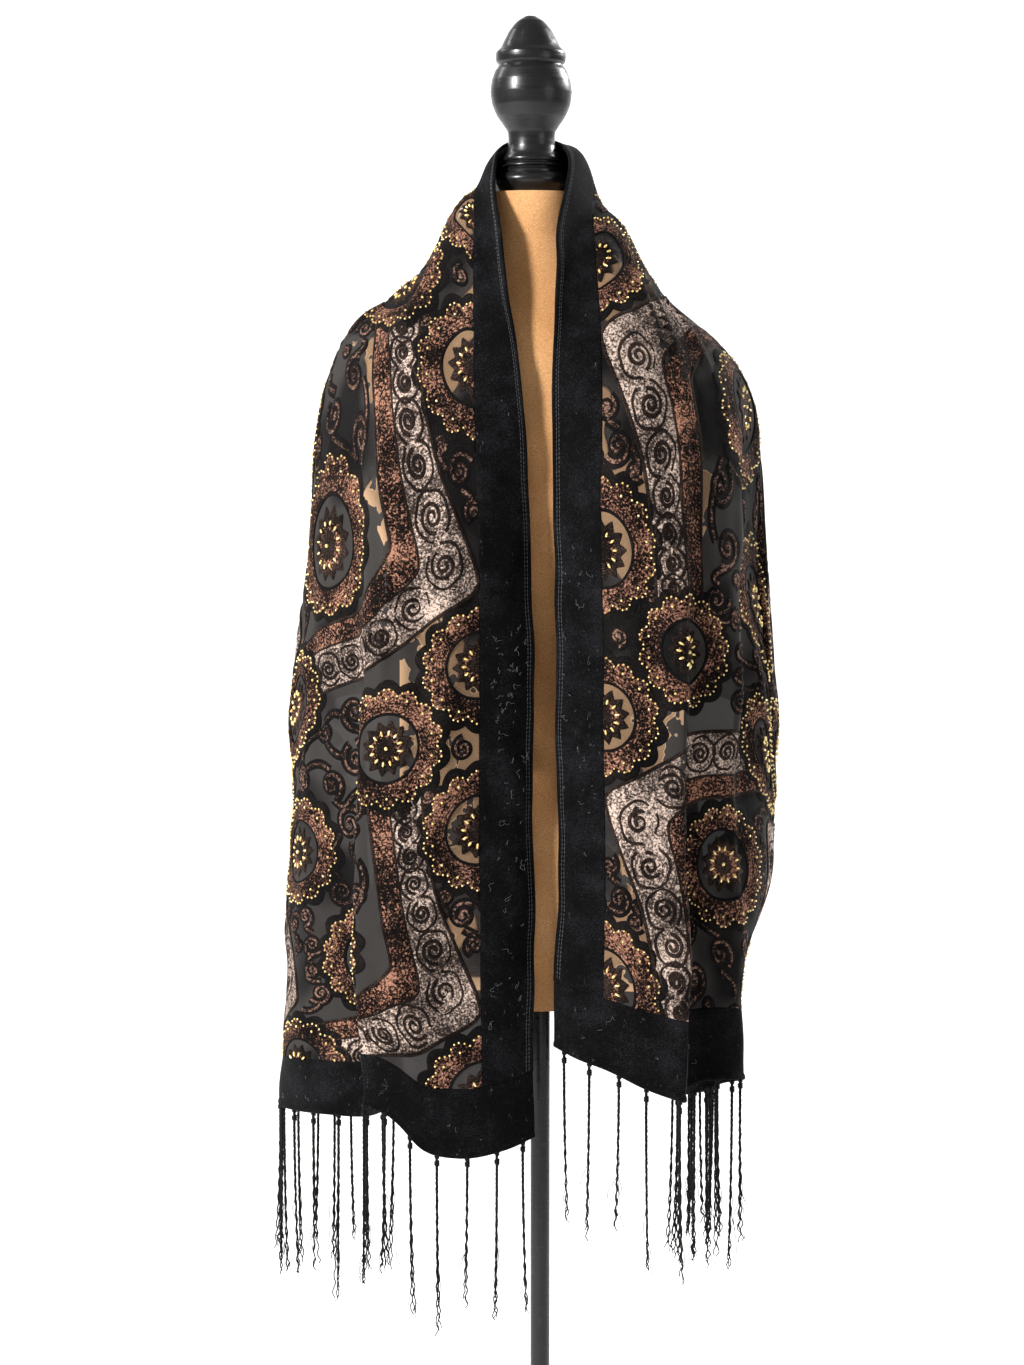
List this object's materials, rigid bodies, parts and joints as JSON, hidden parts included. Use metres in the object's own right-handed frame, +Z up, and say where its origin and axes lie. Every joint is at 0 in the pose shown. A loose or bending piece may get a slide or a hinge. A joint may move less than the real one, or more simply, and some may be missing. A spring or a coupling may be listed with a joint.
{
  "type": "velvet shawl on dress form",
  "caption": "Long beaded velvet shawl with fringed ends, draped round the neck of a limbless dress form on a pole stand.",
  "frame": {"origin": "on the floor, under the middle of the stand's round base, on the pole's axis", "axes": "+Z up along the pole, -Y is the front of the dress form, +X is the viewer's right"},
  "size_m": [0.4531, 0.33, 1.515],
  "materials": {
    "devore_velvet": "dark brown and taupe devore velvet on sheer dark chiffon",
    "black_velvet": "near-black velvet pile",
    "fringe_silk": "black twisted and knotted silk thread",
    "tan_suede": "tan suede-like cover, fine nap",
    "black_painted_wood": "turned wood, black semi-gloss paint"
  },
  "bodies": {
    "root": {"panel_left": "devore_velvet", "panel_back": "devore_velvet", "panel_right": "devore_velvet", "border_inner": "black_velvet", "border_outer": "black_velvet", "border_end_left": "black_velvet", "border_end_right": "black_velvet", "fringe_left": "fringe_silk", "fringe_right": "fringe_silk", "form_torso": "tan_suede", "form_finial": "black_painted_wood", "stand_pole": "black_painted_wood", "stand_base": "black_painted_wood"}
  },
  "joints": []
}
